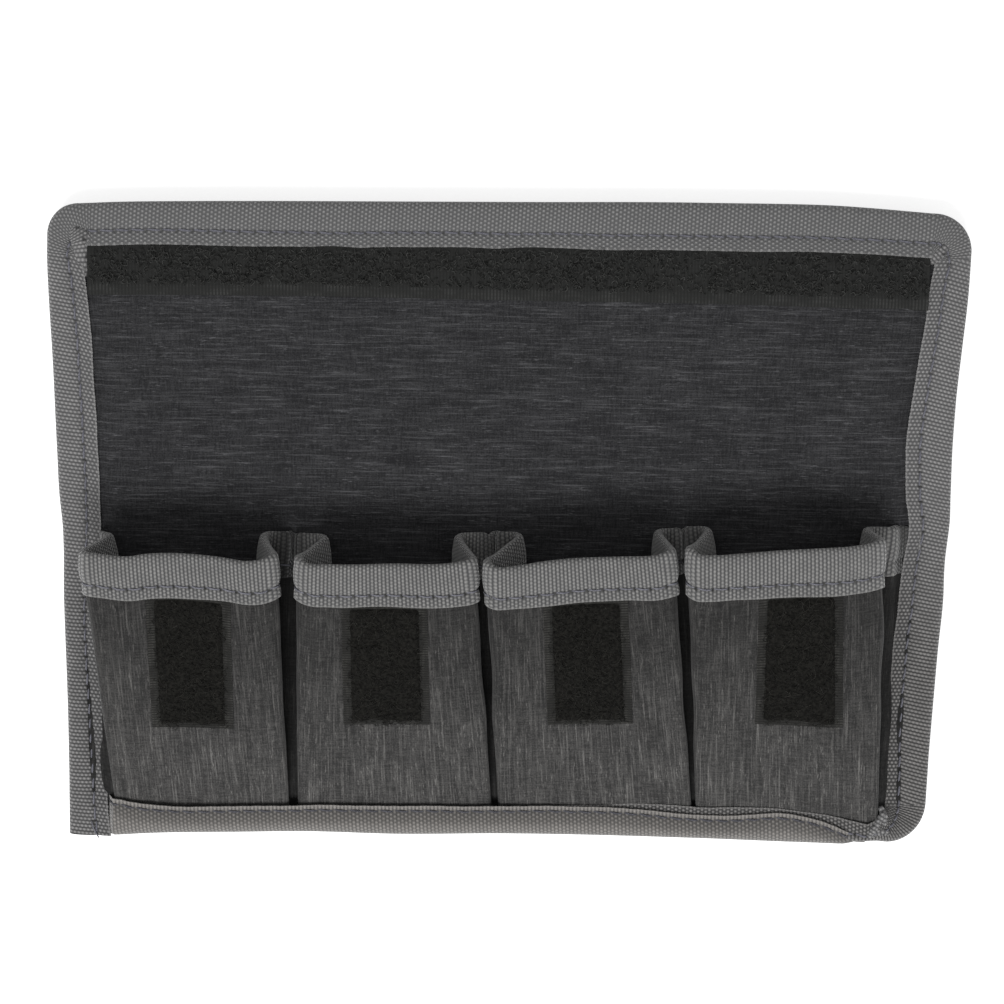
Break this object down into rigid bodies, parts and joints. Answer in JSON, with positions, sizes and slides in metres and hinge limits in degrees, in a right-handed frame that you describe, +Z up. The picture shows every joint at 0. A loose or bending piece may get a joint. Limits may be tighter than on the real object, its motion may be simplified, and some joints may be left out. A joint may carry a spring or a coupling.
{
  "type": "camera battery pouch",
  "caption": "Open padded pouch with a row of pleated battery pockets, bound edges, a belt loop, and a flap that folds over the pockets and closes with hook and loop tape.",
  "frame": {"origin": "under the middle of the open pouch, on the surface that its belt loop lies on", "axes": "+X across the pockets, +Y from the bottom seam to the tip of the flap, +Z up out of the pocket fronts"},
  "size_m": [0.202, 0.1474, 0.031],
  "materials": {
    "outer_shell": "woven polyester with a tight matt weave",
    "foam": "closed-cell foam",
    "lining": "charcoal melange cloth with fine light streaks across",
    "pocket_cloth": "charcoal melange cloth with fine light streaks down",
    "tape": "mid grey ribbed binding tape with lighter flecks",
    "loop_pile": "black brushed loop pile, matt",
    "hook_tape": "black woven tape with fine plastic hooks",
    "strap": "grey woven webbing"
  },
  "bodies": {
    "back": {"back_outer_shell": "outer_shell", "back_foam": "foam", "back_lining": "lining", "pocket_1": "pocket_cloth", "pocket_2": "pocket_cloth", "pocket_3": "pocket_cloth", "pocket_4": "pocket_cloth", "pocket_rim_tape": "tape", "loop_patch_1": "loop_pile", "loop_patch_2": "loop_pile", "loop_patch_3": "loop_pile", "loop_patch_4": "loop_pile", "back_edge_tape_left": "tape", "back_edge_tape_right": "tape", "belt_loop": "strap"},
    "spine": {"spine_outer_shell": "outer_shell", "spine_foam": "foam", "spine_lining": "lining", "spine_edge_tape_left": "tape", "spine_edge_tape_right": "tape"},
    "flap": {"flap_outer_shell": "outer_shell", "flap_foam": "foam", "flap_lining": "lining", "flap_edge_tape": "tape", "hook_strip": "hook_tape"}
  },
  "joints": [
    {"name": "fold_1", "type": "hinge", "parent": "back", "child": "spine", "pos_m": [0, 0.00232, 0.0093], "axis": [1, 0, 0], "range_deg": [0, 90]},
    {"name": "fold_2", "type": "hinge", "parent": "spine", "child": "flap", "pos_m": [0, 0.02573, 0.0093], "axis": [1, 0, 0], "range_deg": [0, 99]}
  ],
  "couplings": [
    {"joint": "fold_2", "follows": "fold_1", "ratio": 1.1}
  ]
}
